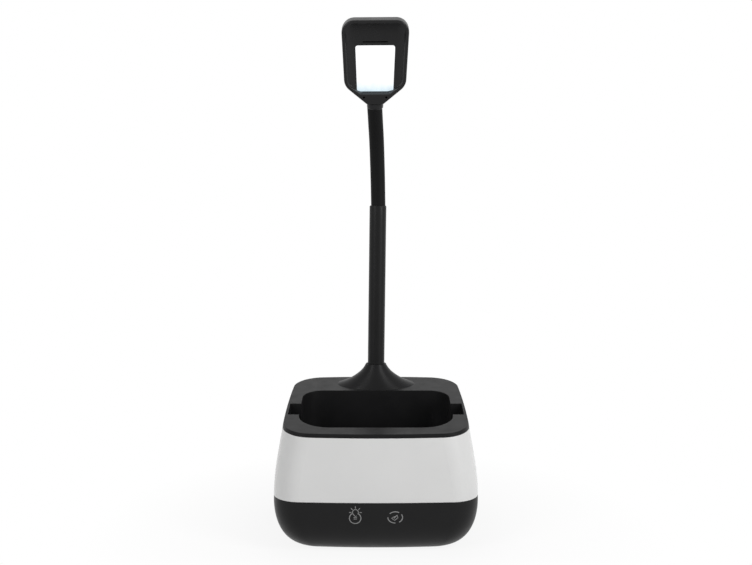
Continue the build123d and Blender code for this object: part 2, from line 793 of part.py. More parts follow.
def head_outline(plane, shrink=0.0):
    """The head's outline: round-topped, with straight cheeks that run down to the throat."""
    with BuildSketch(plane) as outline:
        with BuildLine():
            Polyline((-head_throat_half + shrink, head_throat_height),
                     (-head_low_half + shrink, head_low_corner + shrink / 2),
                     (-head_top_half + shrink, head_length - shrink),
                     (head_top_half - shrink, head_length - shrink),
                     (head_low_half - shrink, head_low_corner + shrink / 2),
                     (head_throat_half - shrink, head_throat_height), close=True)
        make_face()
        fillet(outline.vertices().group_by(Axis.Y)[-1], head_top_round - shrink)
        fillet(outline.vertices().group_by(Axis.Y)[1], head_low_round)
        fillet(outline.vertices().group_by(Axis.Y)[0], head_throat_round)
    return outline.sketch


def trapezoid(plane, low, high, low_half, high_half, low_round, high_round):
    """A round-cornered trapezoid that stands on its low edge."""
    with BuildSketch(plane) as shape:
        with BuildLine():
            Polyline((-low_half, low), (low_half, low), (high_half, high), (-high_half, high), close=True)
        make_face()
        fillet(shape.vertices().group_by(Axis.Y)[0], low_round)
        fillet(shape.vertices().group_by(Axis.Y)[-1], high_round)
    return shape.sketch


def panel_outline(plane, grow=0.0):
    """The lit panel's outline."""
    return trapezoid(plane, panel_bottom - grow, panel_top + grow, panel_low_half + grow,
                     panel_top_half + grow, panel_round, panel_round)


def throat_hollows():
    """The stud's bore, the nut's pocket and the lead's channel, which frame and shell share."""
    with BuildPart() as hollows:
        with BuildSketch(throat_plane):
            Circle(stud_radius + fit_gap)
        extrude(amount=-(head_nut_start + nut_pocket_length))
        with BuildSketch(throat_plane.offset(-head_nut_start)):
            Rectangle(nut_pocket_width, nut_pocket_depth)
        extrude(amount=-nut_pocket_length)
        with BuildSketch(throat_plane.offset(-head_nut_start)):
            with Locations((0, -lead_channel_back)):
                Circle(lead_channel_radius)
        extrude(amount=-(shell_cavity_start - head_nut_start + lead_channel_overlap))
    return hollows.part


panel_face = head_front - dish_depth  # height of the panel's face above the axis
panel_back = panel_face - panel_thickness
board_front = panel_back - led_height - led_board_gap
with BuildPart() as head_frame:
    add(head_outline(Plane.XY.offset(-head_parting)))
    extrude(amount=head_front + head_parting)
    fillet(head_frame.faces().sort_by(Axis.Z)[-1].edges(), head_front_edge)
    opening = trapezoid(Plane.XY.offset(head_front), dish_bottom, dish_top, dish_low_half, dish_top_half,
                        dish_low_round, dish_top_round)
    add(loft([opening, panel_outline(Plane.XY.offset(panel_face))], mode=Mode.PRIVATE), mode=Mode.SUBTRACT)
    # window, seat for the panel's flange, and room for the LED board behind it
    add(panel_outline(Plane.XY.offset(panel_back)))
    extrude(amount=panel_thickness, mode=Mode.SUBTRACT)
    add(panel_outline(Plane.XY.offset(-head_parting), panel_flange + panel_gap))
    extrude(amount=panel_back + panel_thickness / 2 + head_parting, mode=Mode.SUBTRACT)
    add(throat_hollows(), mode=Mode.SUBTRACT)
export(head_frame, "head_frame", head_seat)

with BuildPart() as light_panel:
    add(panel_outline(Plane.XY.offset(panel_back), -panel_gap))
    extrude(amount=panel_thickness)
    add(panel_outline(Plane.XY.offset(panel_back), panel_flange))
    extrude(amount=panel_thickness / 2)
export(light_panel, "light_panel", head_seat)

shell_floor = -head_back + head_wall
with BuildPart() as head_shell:
    add(head_outline(Plane.XY.offset(-head_parting)))
    extrude(amount=head_parting - head_back)
    fillet(head_shell.faces().sort_by(Axis.Z)[0].edges(), head_back_edge)
    cavity = extrude(head_outline(Plane.XY.offset(shell_floor), shell_side_wall),
                     head_back - head_wall - head_parting, mode=Mode.PRIVATE)
    add(cavity.split(throat_plane.offset(-shell_cavity_start), keep=Keep.BOTTOM), mode=Mode.SUBTRACT)
    add(throat_hollows(), mode=Mode.SUBTRACT)
    # posts that carry the LED board
    with BuildSketch(Plane.XY.offset(shell_floor)):
        with Locations((0, (panel_bottom + panel_top) / 2)):
            with GridLocations(led_board_width - 2 * led_post_inset,
                               led_board_length - 2 * led_post_inset, 2, 2):
                Circle(led_post_radius)
    extrude(amount=board_front - board_thickness - shell_floor)
export(head_shell, "head_shell", head_seat)

with BuildPart() as led_board:
    with BuildSketch(Plane.XY.offset(board_front - board_thickness)):
        with Locations((0, (panel_bottom + panel_top) / 2)):
            RectangleRounded(led_board_width, led_board_length, led_board_corner)
    extrude(amount=board_thickness)
export(led_board, "led_board", head_seat)

with BuildPart() as head_leds:
    with BuildSketch(Plane.XY.offset(board_front)):
        with Locations((0, (panel_bottom + panel_top) / 2)):
            with GridLocations(led_pitch_across, led_pitch_along, led_count, led_count):
                Rectangle(led_size, led_size)
    extrude(amount=led_height)
export(head_leds, "head_leds", head_seat)

with BuildPart() as neck_collar:
    with BuildSketch(throat_plane):
        Circle(collar_radius)
        Circle(stud_radius + fit_gap, mode=Mode.SUBTRACT)
    extrude(amount=-head_throat_height)
export(neck_collar, "neck_collar", head_seat)

with BuildPart() as neck_end_stud:
    with BuildSketch(throat_plane):
        Circle(coil_bore - fit_gap)
    extrude(amount=stud_plug_length)
    with BuildSketch(throat_plane):
        Circle(stud_radius)
    extrude(amount=-stud_length)
    with BuildSketch(throat_plane.offset(-stud_length)):
        Circle(stud_bore)
    extrude(amount=stud_length + stud_plug_length, mode=Mode.SUBTRACT)
export(neck_end_stud, "neck_end_stud", head_seat)

with BuildPart() as neck_end_nut:
    with BuildSketch(throat_plane.offset(-head_nut_start)):
        RegularPolygon(head_nut_across_flats / 2, 6, major_radius=False)
        Circle(stud_radius + fit_gap, mode=Mode.SUBTRACT)
    extrude(amount=-head_nut_height)
export(neck_end_nut, "neck_end_nut", head_seat)
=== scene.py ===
"""The desk lamp's studio scene: finishes for every node, the neck, stem, lamp head and touch symbols.

Metres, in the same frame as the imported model: the base stands on z = 0 and -Y is the front.
"""

import json
from math import cos, pi, radians, sin, tan

import bmesh
import bpy
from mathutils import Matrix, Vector
from mathutils.bvhtree import BVHTree


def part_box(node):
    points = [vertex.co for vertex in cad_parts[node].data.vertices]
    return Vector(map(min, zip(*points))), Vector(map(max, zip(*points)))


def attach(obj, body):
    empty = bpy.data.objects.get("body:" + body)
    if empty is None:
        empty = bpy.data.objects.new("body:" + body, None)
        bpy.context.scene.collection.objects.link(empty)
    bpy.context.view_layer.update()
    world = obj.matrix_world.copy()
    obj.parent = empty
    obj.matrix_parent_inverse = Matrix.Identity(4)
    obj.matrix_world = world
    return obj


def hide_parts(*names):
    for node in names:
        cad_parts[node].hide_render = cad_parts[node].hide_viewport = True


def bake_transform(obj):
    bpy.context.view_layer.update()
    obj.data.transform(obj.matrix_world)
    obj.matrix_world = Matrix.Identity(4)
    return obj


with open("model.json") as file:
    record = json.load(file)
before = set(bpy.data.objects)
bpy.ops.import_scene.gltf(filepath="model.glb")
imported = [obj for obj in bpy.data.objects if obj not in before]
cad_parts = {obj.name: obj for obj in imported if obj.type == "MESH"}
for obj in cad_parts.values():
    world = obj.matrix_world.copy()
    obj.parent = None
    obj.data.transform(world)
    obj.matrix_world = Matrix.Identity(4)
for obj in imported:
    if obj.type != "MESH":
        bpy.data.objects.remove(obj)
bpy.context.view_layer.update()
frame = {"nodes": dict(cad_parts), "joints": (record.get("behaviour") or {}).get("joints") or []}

nodes = frame["nodes"]
joint_points = [Vector(joint["pos_m"]) for joint in frame["joints"]]
MM = 0.001
WHITE = (1.0, 1.0, 1.0, 1.0)

# ---------------------------------------------------------------- camera
SENSOR_WIDTH = 36.0  # millimetres, as the lens is
LENS = 47.8
CAMERA_PLACE = (0.00007, -0.750, 0.2674)
CAMERA_TILT = 84.1  # degrees up from straight down


def studio_camera():
    """The photograph's view: from the front, a little above the middle of the lamp."""
    data = bpy.data.cameras.new("camera")
    data.sensor_width = SENSOR_WIDTH
    data.lens = LENS
    camera = bpy.data.objects.new("camera", data)
    camera.location = CAMERA_PLACE
    camera.rotation_euler = (radians(CAMERA_TILT), 0.0, 0.0)
    bpy.context.scene.collection.objects.link(camera)
    bpy.context.scene.camera = camera


studio_camera()
bpy.context.scene.view_settings.view_transform = "Standard"

# ---------------------------------------------------------------- finishes
EDGE_SAMPLES = 4
GRAIN_STRENGTH = 0.6
WAVE_DEPTH = 0.12 * MM
WAVE_STRENGTH = 0.25
HANDLING_SCALE = 2.7  # how much finer the uneven gloss is than the patches of colour
MOULDED = {"grain": 2600.0, "grain_depth": 0.02 * MM}
DRAWN = (1.0, 1.0, 9.0)  # stretches a metal's grain round the piece
WOUND = (0.1, 0.1, 1.0)  # and along a wound strip
PANEL_DIM = (2.0 * MM, 10.0 * MM)  # heights above the panel's lower edge between which its light grows


def start_material(name):
    """A material with an empty Principled shader, and the node tree to build on."""
    material = bpy.data.materials.new(name)
    material.use_nodes = True
    tree = material.node_tree
    tree.nodes.clear()
    output = tree.nodes.new("ShaderNodeOutputMaterial")
    shader = tree.nodes.new("ShaderNodeBsdfPrincipled")
    tree.links.new(shader.outputs["BSDF"], output.inputs["Surface"])
    return material, tree, shader


def place(tree, stretch):
    """Coordinates in metres on the piece, stretched along its axes."""
    where = tree.nodes.new("ShaderNodeTexCoord")
    mapping = tree.nodes.new("ShaderNodeMapping")
    mapping.inputs["Scale"].default_value = stretch
    tree.links.new(where.outputs["Object"], mapping.inputs["Vector"])
    return mapping.outputs["Vector"]


def noise(tree, vector, scale, detail):
    """Noise with features about one over `scale` metres across."""
    texture = tree.nodes.new("ShaderNodeTexNoise")
    texture.inputs["Scale"].default_value = scale
    texture.inputs["Detail"].default_value = detail
    tree.links.new(vector, texture.inputs["Vector"])
    return texture.outputs["Fac"]


def remap(tree, value, low, high, start=0.3, end=0.7):
    """value between start and end, spread from low to high."""
    spread = tree.nodes.new("ShaderNodeMapRange")
    spread.inputs["From Min"].default_value = start
    spread.inputs["From Max"].default_value = end
    spread.inputs["To Min"].default_value = low
    spread.inputs["To Max"].default_value = high
    tree.links.new(value, spread.inputs["Value"])
    return spread.outputs["Result"]


def blend_colours(tree, factor, first, second):
    """A colour between first and second."""
    mix = tree.nodes.new("ShaderNodeMix")
    mix.data_type = "RGBA"
    mix.inputs["A"].default_value = (*first, 1.0)
    mix.inputs["B"].default_value = (*second, 1.0)
    tree.links.new(factor, mix.inputs["Factor"])
    return mix.outputs["Result"]


def bumps(tree, shader, heights, edge=0.0):
    """Adds one bump after another: (height output, depth in metres, strength).

    edge is the radius at which the light rolls over the piece's edges.
    """
    normal = None
    if edge:
        rolled = tree.nodes.new("ShaderNodeBevel")
        rolled.samples = EDGE_SAMPLES
        rolled.inputs["Radius"].default_value = edge
        normal = rolled.outputs["Normal"]
    for height, depth, strength in heights:
        bump = tree.nodes.new("ShaderNodeBump")
        bump.inputs["Distance"].default_value = depth
        bump.inputs["Strength"].default_value = strength
        tree.links.new(height, bump.inputs["Height"])
        if normal is not None:
            tree.links.new(normal, bump.inputs["Normal"])
        normal = bump.outputs["Normal"]
    tree.links.new(normal, shader.inputs["Normal"])


def finish_material(name, dark, light, rough, grain, grain_depth, patches=40.0, stretch=(1.0, 1.0, 1.0),
                    edge=0.0, **sockets):
    """A moulded, rubber or metal finish: mottled colour, uneven gloss and a fine grain.

    The colour varies from dark to light and the roughness between the two in rough. grain and patches
    are the number of grains and of patches to the metre. edge rolls the light, as in bumps.
    """
    material, tree, shader = start_material(name)
    where = place(tree, stretch)
    patch = remap(tree, noise(tree, where, patches, 4.0), 0.0, 1.0)
    tree.links.new(blend_colours(tree, patch, dark, light), shader.inputs["Base Color"])
    handling = noise(tree, where, patches * HANDLING_SCALE, 5.0)
    tree.links.new(remap(tree, handling, *rough), shader.inputs["Roughness"])
    fine = noise(tree, where, grain, 2.0)
    wave = noise(tree, where, patches, 1.0)
    bumps(tree, shader, [(fine, grain_depth, GRAIN_STRENGTH), (wave, WAVE_DEPTH, WAVE_STRENGTH)], edge)
    for socket, value in sockets.items():
        shader.inputs[socket.replace("_", " ")].default_value = value
    return material


def grey(value, tint=0.0):
    """A grey, with that share more blue."""
    return (value, value, value * (1 + tint))


black_plastic = finish_material("black_plastic", grey(0.0062, 0.04), grey(0.0082, 0.04), (0.34, 0.44),
                                **MOULDED, edge=0.5 * MM, Specular_IOR_Level=0.17)
deck_plastic = finish_material("deck_plastic", grey(0.0085, 0.04), grey(0.0105, 0.04), (0.32, 0.42),
                               **MOULDED, edge=0.6 * MM, Specular_IOR_Level=0.1)
sleeve_rubber = finish_material("sleeve_rubber", grey(0.0045, 0.03), grey(0.0062, 0.03), (0.46, 0.58),
                                grain=3200.0, grain_depth=0.03 * MM, Specular_IOR_Level=0.09)
stem_coat = finish_material("stem_coat", grey(0.0055, 0.03), grey(0.0075, 0.03), (0.36, 0.46),
                            grain=3200.0, grain_depth=0.02 * MM, Specular_IOR_Level=0.15)
head_plastic = finish_material("head_plastic", grey(0.0058, 0.06), grey(0.0078, 0.06), (0.25, 0.33),
                               **MOULDED, edge=0.4 * MM, Specular_IOR_Level=0.24)
slot_shadow = finish_material("slot_shadow", grey(0.002), grey(0.003), (0.7, 0.8),
                              **MOULDED, Specular_IOR_Level=0.05)
foot_rubber = finish_material("foot_rubber", grey(0.018), grey(0.03), (0.6, 0.75),
                              grain=2000.0, grain_depth=0.05 * MM)
cover_plastic = finish_material("cover_plastic", grey(0.02), grey(0.027), (0.5, 0.62),
                                grain=1500.0, grain_depth=0.04 * MM)
steel = finish_material("steel", grey(0.5), grey(0.62), (0.2, 0.36),
                        grain=900.0, grain_depth=0.01 * MM, stretch=DRAWN, Metallic=1.0)
coil_steel = finish_material("coil_steel", grey(0.4), grey(0.5), (0.3, 0.42),
                             grain=700.0, grain_depth=0.06 * MM, stretch=WOUND, Metallic=1.0)
brass = finish_material("brass", (0.68, 0.5, 0.22), (0.78, 0.6, 0.3), (0.2, 0.34),
                        grain=900.0, grain_depth=0.01 * MM, stretch=DRAWN, Metallic=1.0)
painted_iron = finish_material("painted_iron", grey(0.06), grey(0.1), (0.45, 0.6),
                               grain=700.0, grain_depth=0.1 * MM)
circuit_board = finish_material("circuit_board", (0.01, 0.09, 0.03), (0.03, 0.2, 0.08), (0.25, 0.4),
                                grain=500.0, grain_depth=0.03 * MM, patches=260.0)
white_board = finish_material("white_board", grey(0.7), grey(0.8), (0.3, 0.45),
                              grain=900.0, grain_depth=0.02 * MM)
chip_plastic = finish_material("chip_plastic", grey(0.012), grey(0.03), (0.4, 0.6),
                               grain=1500.0, grain_depth=0.03 * MM, patches=300.0)
strip_film = finish_material("strip_film", (0.72, 0.7, 0.66), (0.8, 0.79, 0.76), (0.4, 0.55),
                             grain=1200.0, grain_depth=0.02 * MM)
pad_foam = finish_material("pad_foam", grey(0.03), grey(0.06), (0.75, 0.9),
                           grain=1800.0, grain_depth=0.1 * MM)
wire_jacket = finish_material("wire_jacket", grey(0.03), grey(0.05), (0.45, 0.6),
                              grain=1500.0, grain_depth=0.03 * MM)
led_phosphor = finish_material("led_phosphor", (0.85, 0.75, 0.3), (0.95, 0.9, 0.55), (0.3, 0.45),
                               grain=900.0, grain_depth=0.02 * MM)
symbol_ink = finish_material("symbol_ink", grey(0.2), grey(0.26), (0.4, 0.55), **MOULDED, patches=400.0)
white_band = finish_material("white_band", (0.70, 0.70, 0.695), (0.725, 0.725, 0.72), (0.2, 0.27),
                             grain=1800.0, grain_depth=0.006 * MM, patches=25.0, edge=0.6 * MM,
                             Coat_Weight=0.2, Coat_Roughness=0.12)


def lit_panel():
    """The diffuser, lit from behind: near-white, cooler and dimmer along its lower edge."""
    material, tree, shader = start_material("light_diffuser")
    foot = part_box("light_panel")[0].z
    where = tree.nodes.new("ShaderNodeTexCoord").outputs["Object"]
    split = tree.nodes.new("ShaderNodeSeparateXYZ")
    tree.links.new(where, split.inputs["Vector"])
    height = remap(tree, split.outputs["Z"], 0.0, 1.0, foot + PANEL_DIM[0], foot + PANEL_DIM[1])
    glow = blend_colours(tree, height, (0.62, 0.80, 0.90), (0.98, 0.99, 1.0))
    tree.links.new(glow, shader.inputs["Emission Color"])
    cells = noise(tree, where, 160.0, 1.0)
    tree.links.new(remap(tree, cells, 0.86, 0.97), shader.inputs["Emission Strength"])
    unlit = blend_colours(tree, cells, grey(0.2, 0.03), grey(0.26, 0.02))
    tree.links.new(unlit, shader.inputs["Base Color"])
    fine = noise(tree, where, 2400.0, 2.0)
    bumps(tree, shader, [(fine, 0.01 * MM, 0.5)])
    shader.inputs["Roughness"].default_value = 0.35
    return material


light_diffuser = lit_panel()

# the finish of each node, or of a row of numbered nodes
node_finish = {
    "lower_housing": black_plastic, "bottom_cover": cover_plastic, "cover_screws": steel,
    "rubber_feet": foot_rubber, "ballast_plate": painted_iron, "ballast_screws": steel,
    "main_board": circuit_board, "board_parts": chip_plastic, "inlet_board": circuit_board,
    "power_inlet": steel, "touch_board": circuit_board, "touch_pads": pad_foam, "light_band": white_band,
    "organizer_deck": deck_plastic, "deck_screws": steel, "mood_strip": strip_film,
    "mood_leds": led_phosphor, "stem_tube": stem_coat, "stem_nipple": brass, "stem_washer": steel,
    "stem_nut": brass, "stem_lead": wire_jacket, "neck_ferrule": stem_coat, "neck_sleeve": sleeve_rubber,
    "neck_coil": coil_steel, "neck_collar": black_plastic, "neck_end_stud": brass, "neck_end_nut": brass,
    "head_frame": head_plastic, "head_shell": head_plastic, "light_panel": light_diffuser,
    "led_board": white_board, "head_leds": led_phosphor,
}
for name, node in nodes.items():
    for slot in node.material_slots:
        slot.material = node_finish[name.rstrip("_0123456789")]


# ---------------------------------------------------------------- meshes
def mesh_piece(name, mesh, *materials):
    """An object in the scene, with a bmesh's shape and its materials. The bmesh is used up."""
    data = bpy.data.meshes.new(name)
    mesh.to_mesh(data)
    mesh.free()
    for material in materials:
        data.materials.append(material)
    piece = bpy.data.objects.new(name, data)
    bpy.context.scene.collection.objects.link(piece)
    return piece


def quarter_turn(steps):
    """The sine and cosine of the angles from 0 to 90 degrees, in that many steps."""
    turns = [radians(90 * step / steps) for step in range(steps + 1)]
    return [(sin(turn), cos(turn)) for turn in turns]


def tube(name, points, radii, bore, material, sides):
    """A closed, hollow tube along points, with its outer radius at each."""
    mesh = bmesh.new()
    rings = []
    side = Vector((1.0, 0.0, 0.0))
    for number, point in enumerate(points):
        ahead = points[min(number + 1, len(points) - 1)]
        behind = points[max(number - 1, 0)]
        along = (ahead - behind).normalized()
        across = (side - along * side.dot(along)).normalized()
        up = along.cross(across)
        rows = []
        for radius in (radii[number], bore):
            rows.append([mesh.verts.new(point + (across * cos(a) + up * sin(a)) * radius)
                         for a in (2 * pi * k / sides for k in range(sides))])
        rings.append(rows)
    for low, high in zip(rings, rings[1:]):
        for k in range(sides):
            n = (k + 1) % sides
            face = mesh.faces.new((low[0][k], low[0][n], high[0][n], high[0][k]))
            face.smooth = True
            face = mesh.faces.new((low[1][n], low[1][k], high[1][k], high[1][n]))
            face.smooth = True
    for rows, turn in ((rings[0], 1), (rings[-1], -1)):
        for k in range(sides):
            n = (k + 1) % sides
            corners = (rows[0][k], rows[1][k], rows[1][n], rows[0][n])
            mesh.faces.new(corners[::turn])
            for ring in rows:
                mesh.edges.get((ring[k], ring[n])).smooth = False
    mesh.normal_update()
    return mesh_piece(name, mesh, material)


# ---------------------------------------------------------------- the neck's skins and cores
RIM_DEPTH = 0.05 * MM  # vertices that near to the farthest one lie on the rim
TUBE_SIDES = 56
SKIN_RINGS = 16
SKIN_BORE = 4.6 * MM
SKIN_RADIUS = 5.7 * MM
SKIN_SWELL = 0.1 * MM  # how much thicker the skin is at the head
SKIN_TAIL = 9.0 * MM  # how far the lowest skin reaches down into the stem from the first joint
NECK_BOW = 8.0 * MM  # scales the neck's slight bow to the right, which is widest below the head
CORE_RINGS = 60
CORE_SIDES = 32
CORE_TURNS = 10
CORE_BORE = 3.0 * MM
CORE_RADIUS = 4.2 * MM
CORE_WAVE = 0.3 * MM


def ring_middle(node, joint):
    """The middle of the node's rim that lies farthest from a joint."""
    spots = [Vector(v.co) for v in nodes[node].data.vertices]
    far = max((spot - joint).length for spot in spots)
    rim = [spot for spot in spots if (spot - joint).length > far - RIM_DEPTH]
    low = Vector(min(spot[i] for spot in rim) for i in range(3))
    high = Vector(max(spot[i] for spot in rim) for i in range(3))
    return (low + high) / 2


def neck_span():
    """The two ends of the neck: inside the stem, and at the head's collar."""
    straight = (joint_points[1] - joint_points[0]).normalized()
    return joint_points[0] - straight * SKIN_TAIL, ring_middle("neck_sleeve_6", joint_points[-1])


neck_first, neck_last = neck_span()


def neck_line(number, rings):
    """Points along the neck's middle for one skin or core, which bends across one joint."""
    joint = joint_points[number]
    start = (joint_points[number - 1] + joint) / 2 if number else neck_first
    end = (joint + joint_points[number + 1]) / 2 if number + 1 < len(joint_points) else neck_last
    points = []
    for step in range(rings + 1):
        t = step / rings
        share = (number + t) / len(joint_points)
        bow = Vector((NECK_BOW * share**4 * (1 - share), 0.0, 0.0))
        points.append(start * (1 - t) ** 2 + joint * 2 * t * (1 - t) + end * t**2 + bow)
    return points


def skin_radius(ring):
    """The skin's radius at a ring, counted from the neck's foot."""
    return SKIN_RADIUS + SKIN_SWELL * ring / SKIN_RINGS / len(joint_points)


def core_radius(ring):
    """The coil's radius at a ring of a core: it waves in and out with each turn of the strip."""
    return CORE_RADIUS + CORE_WAVE * cos(2 * pi * CORE_TURNS * ring / CORE_RINGS)


def turn_with_joint(piece):
    """Bakes a piece of the neck's placement into its mesh."""
    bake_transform(piece)


for number in range(len(joint_points)):
    # the last skin and core cover two of the neck's nodes
    covered = range(number, number + (2 if number + 1 == len(joint_points) else 1))

    line = neck_line(number, SKIN_RINGS)
    radii = [skin_radius(number * SKIN_RINGS + step) for step in range(SKIN_RINGS + 1)]
    skin = tube(f"neck_skin_{number + 1}", line, radii, SKIN_BORE, sleeve_rubber, TUBE_SIDES)
    turn_with_joint(skin)
    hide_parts(*[f"neck_sleeve_{k}" for k in covered], *(["neck_ferrule"] if number == 0 else []))

    line = neck_line(number, CORE_RINGS)
    radii = [core_radius(ring) for ring in range(CORE_RINGS + 1)]
    core = tube(f"neck_core_{number + 1}", line, radii, CORE_BORE, coil_steel, CORE_SIDES)
    turn_with_joint(core)
    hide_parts(*[f"neck_coil_{k}" for k in covered])

# ---------------------------------------------------------------- the stem
STEM_RADIUS = 6.65 * MM
STEM_TOP = 246.7 * MM
STEM_SEAT = 110.0 * MM  # the height at which the stem's line stands over the base's middle line
STEM_RINGS = 12
STEM_END_ROUND = 0.9 * MM
STEM_END_STEPS = 6


def stem():
    """The stem's coated tube, with its rounded rim, from inside the flare to the neck."""
    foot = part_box("stem_tube")[0].z
    along = joint_points[0] - Vector((0.0, joint_points[0].y, STEM_SEAT))
    along = along / along.z
    straight = STEM_TOP - STEM_END_ROUND - foot
    heights = [foot + straight * k / STEM_RINGS for k in range(STEM_RINGS + 1)]
    radii = [STEM_RADIUS] * len(heights)
    for rise, run in quarter_turn(STEM_END_STEPS)[1:]:
        heights.append(STEM_TOP - STEM_END_ROUND * (1 - rise))
        radii.append(STEM_RADIUS - STEM_END_ROUND * (1 - run))
    line = [joint_points[0] + along * (height - joint_points[0].z) for height in heights]
    piece = tube("stem_sleeve", line, radii, SKIN_BORE, stem_coat, TUBE_SIDES)
    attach(piece, "base")
    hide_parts("stem_tube")


stem()

# ---------------------------------------------------------------- the lamp head
# millimetres: x across, y up the head from the collar, z forward from the neck's axis
HEAD_CORNERS = [(5.4, 3.5), (23.3, 18.8), (25.3, 68.7)]
HEAD_ROUNDS = [6.0, 11.0, 9.5]
SMALLEST_ROUND = 0.8
SHORTEST_RUN = 0.6  # from a corner to where its round begins
HEAD_FRONT = 6.5
HEAD_SEAM = -0.5
SEAM_HALF = 0.13
SEAM_DEPTH = 0.3
BACK_AT_COLLAR = -8.4
BACK_AT_TOP = -6.5
BACK_ROUND = 5.0
BACK_STEPS = 8
FRONT_ROUND = 1.2
FRONT_STEPS = 6
HEAD_WALL = 1.8
LIP_WIDTH = 2.5
LIP_ROUND = 0.4
LIP_MIDDLE = 0.3  # the share of the lip's round at its middle loop
CHIN = (10.6, 12.2)  # where the dish ends below the lit panel
CHIN_ROUND = 3.0
DISH = [(0.62, 2.7), (0.22, 4.6)]  # share of the way in from the lip to the panel, and level
PANEL_TOP = 48.6
PANEL_BOTTOM = 13.0
PANEL_TOP_HALF = 14.9
PANEL_LOW_HALF = 13.8
PANEL_FOOT_SHARE = 0.6  # of its lower half width, where the extra corner lies
PANEL_ROUND = 1.9
PANEL_LEVEL = 1.5
PANEL_EDGE = [(0.05, -1.7), (0.05, -0.35), (0.15, -0.2), (0.4, -0.1)]  # inset, and place from its level
SLOT_LEVEL = 51.4
SLOT_HALF = 9.6
SLOT_HEIGHT = 0.8
SLOT_ROUND = 0.45 * SLOT_HEIGHT
SLOT_FLOOR = 0.9
DIMPLE_X = 8.5
DIMPLE_LEVEL = 10.0
DIMPLE_RADIUS = 0.85
DIMPLE_DEPTH = 1.1
DIMPLE_SIDES = 20
CUT_CLEAR = 1.0  # how far a cutter stands out of the front
SHARP_ANGLE = radians(28)
HEAD_OFFSET = 0.3  # how far the head sits to the right of the neck's end
HEAD_LEAN = 0.01  # how far the head leans to the right of the neck's end, as a slope
# the collar: place up the head, and radius
COLLAR = [(-0.3, 5.9), (0.0, 6.12), (0.3, 6.22), (0.8, 6.27), (1.6, 6.27), (3.2, 6.25), (6.0, 6.1)]

head_up = (neck_last - joint_points[-1]).normalized()
head_out = Vector((1.0, 0.0, 0.0)).cross(head_up).normalized()
head_across = head_up.cross(head_out)


def head_place(x, y, z):
    """A point of the head, from its own millimetres."""
    return neck_last + (head_across * (x + HEAD_OFFSET + HEAD_LEAN * y) + head_up * y + head_out * z) * MM


def mirrored(right):
    """Corners on the right, bottom to top, and their mirror images, anticlockwise."""
    return [Vector(corner) for corner in right] + [Vector((-x, y)) for x, y in reversed(right)]


def inset(corners, distance):
    """An anticlockwise outline's corners after its sides move inwards."""
    moved = []
    for number, corner in enumerate(corners):
        sides = (corner - corners[number - 1], corners[(number + 1) % len(corners)] - corner)
        inward = [Vector((-side.y, side.x)).normalized() for side in sides]
        middle = (inward[0] + inward[1]).normalized()
        moved.append(corner + middle * distance / middle.dot(inward[0]))
    return moved


def rounded(corners, rounds, steps=10):
    """Points round an outline with round corners, as many at each corner."""
    points = []
    for number, corner in enumerate(corners):
        back = (corners[number - 1] - corner).normalized()
        ahead = (corners[(number + 1) % len(corners)] - corner).normalized()
        half = back.angle(ahead) / 2
        run = max(rounds[number] / tan(half), SHORTEST_RUN)
        ends = (corner + back * run, corner + ahead * run)
        for step in range(steps + 1):
            t = step / steps
            weights = ((1 - t) ** 2, 2 * t * (1 - t) * sin(half), t**2)
            spot = ends[0] * weights[0] + corner * weights[1] + ends[1] * weights[2]
            points.append(spot / sum(weights))
    return points


def head_outline(shrink):
    """The head's outline, moved inwards."""
    rounds = [max(each - shrink, SMALLEST_ROUND) for each in HEAD_ROUNDS]
    return rounded(inset(mirrored(HEAD_CORNERS), shrink), rounds + rounds[::-1])


def dish_mouth(grow):
    """The outline of the dish where it meets the lip, moved outwards."""
    corners = inset(mirrored(HEAD_CORNERS), LIP_WIDTH - grow)
    corners[0], corners[-1] = mirrored([(CHIN[0], CHIN[1] - grow)])
    rounds = [CHIN_ROUND] + [each - LIP_WIDTH for each in HEAD_ROUNDS[1:]]
    return rounded(corners, rounds + rounds[::-1])


def panel_outline(shrink):
    """The lit panel's outline, with two extra corners below to match the head's."""
    right = [(PANEL_LOW_HALF * PANEL_FOOT_SHARE, PANEL_BOTTOM), (PANEL_LOW_HALF, PANEL_BOTTOM),
             (PANEL_TOP_HALF, PANEL_TOP)]
    corners = inset(mirrored(right), shrink)
    return rounded(corners, [PANEL_ROUND] * len(corners))


def slot_outline():
    """The outline of the slot above the panel."""
    corners = [Vector((x * SLOT_HALF, SLOT_LEVEL + y * SLOT_HEIGHT / 2))
               for x, y in ((-1, -1), (1, -1), (1, 1), (-1, 1))]
    return rounded(corners, [SLOT_ROUND] * len(corners), 4)


def dimple_outline(side):
    """The ring of the dimple at the chin's left, -1, or right, 1."""
    angles = [2 * pi * k / DIMPLE_SIDES for k in range(DIMPLE_SIDES)]
    return [Vector((side * DIMPLE_X + DIMPLE_RADIUS * cos(a), DIMPLE_LEVEL + DIMPLE_RADIUS * sin(a)))
            for a in angles]


def head_loop(outline, depth):
    """An outline in its place on the head; depth is a level, or gives one for each height."""
    return [head_place(p.x, p.y, depth(p.y) if callable(depth) else depth) for p in outline]


def shade(data):
    """Smooth shading, with an edge where the surface turns sharply."""
    data.shade_smooth()
    data.set_sharp_from_angle(angle=SHARP_ANGLE)


